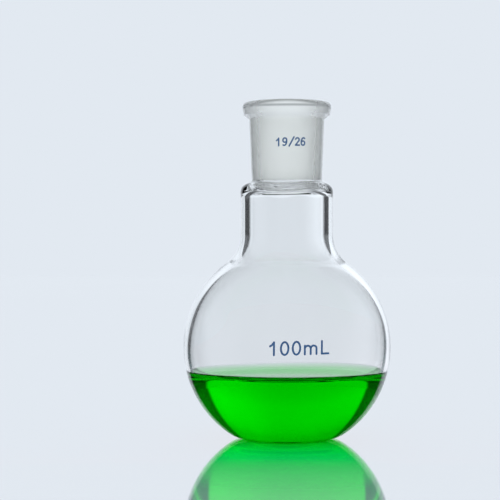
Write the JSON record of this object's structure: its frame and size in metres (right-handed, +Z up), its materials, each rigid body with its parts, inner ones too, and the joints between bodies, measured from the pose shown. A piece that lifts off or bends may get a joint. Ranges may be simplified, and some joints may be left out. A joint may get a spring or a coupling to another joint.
{
  "type": "reaction flask",
  "caption": "Flat-bottomed glass bulb with a straight neck, a welded shoulder and a ground, beaded socket, part filled with clear green liquid.",
  "frame": {"origin": "on the bench plane, in the middle of the round foot", "axes": "+Z up along the flask's axis, through the neck and out of the socket; the flask is round, so X and Y are alike"},
  "size_m": [0.064, 0.064, 0.1037],
  "materials": {
    "flask_glass": "clear fire-polished borosilicate glass, ground matt inside the socket",
    "green_liquid": "clear bright green water-like liquid"
  },
  "bodies": {
    "root": {"flask": "flask_glass", "liquid": "green_liquid"}
  },
  "joints": []
}
